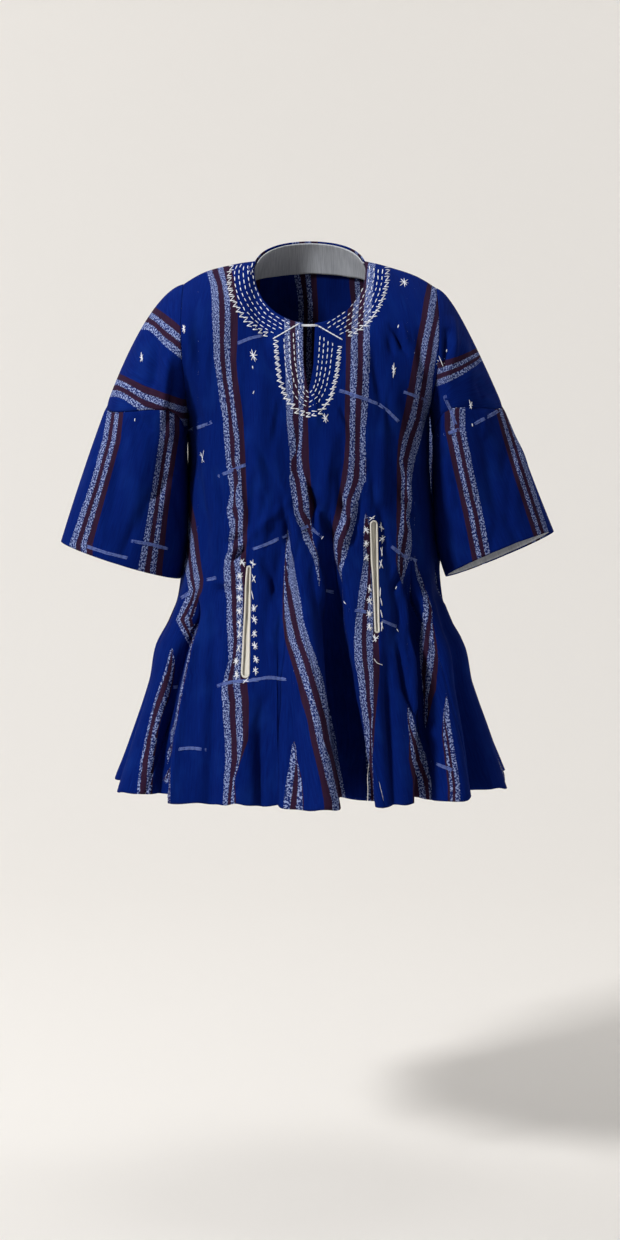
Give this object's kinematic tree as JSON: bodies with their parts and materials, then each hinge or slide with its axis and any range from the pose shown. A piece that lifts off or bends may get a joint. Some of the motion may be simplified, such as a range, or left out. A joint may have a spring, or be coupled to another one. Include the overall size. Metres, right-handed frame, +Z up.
{
  "type": "fugu smock",
  "caption": "Child's worn fugu smock: flared body with gores, half sleeves in two parts, round neck with a front slit and slit pockets.",
  "frame": {"origin": "the middle of the neck opening, level with the tops of the shoulders, where the wearer's shoulders hold the smock", "axes": "+Z up; the front faces -Y; +X is to the right as seen from the front, the wearer's left"},
  "size_m": [0.4949, 0.3385, 0.539],
  "materials": {
    "blue_cloth": "hand-woven cotton, deep blue with light and brown warp stripes",
    "cream_cloth": "plain cream cotton",
    "facing_cloth": "plain pale grey cotton",
    "white_thread": "thick white embroidery cotton"
  },
  "bodies": {
    "root": {"front_body": "blue_cloth", "back_body": "blue_cloth", "gore_front_outer_left": "blue_cloth", "gore_front_left": "blue_cloth", "gore_front_right": "blue_cloth", "gore_front_outer_right": "blue_cloth", "gore_back_outer_left": "blue_cloth", "gore_back_left": "blue_cloth", "gore_back_right": "blue_cloth", "gore_back_outer_right": "blue_cloth", "gore_side_left": "blue_cloth", "gore_side_right": "blue_cloth", "sleeve_upper_left": "blue_cloth", "sleeve_upper_right": "blue_cloth", "sleeve_lower_left": "blue_cloth", "sleeve_lower_right": "blue_cloth", "cuff_facing_left": "facing_cloth", "cuff_facing_right": "facing_cloth", "neck_facing": "facing_cloth", "pocket_binding_left": "cream_cloth", "pocket_binding_right": "cream_cloth", "pocket_lining_left": "cream_cloth", "pocket_lining_right": "cream_cloth"}
  },
  "joints": []
}
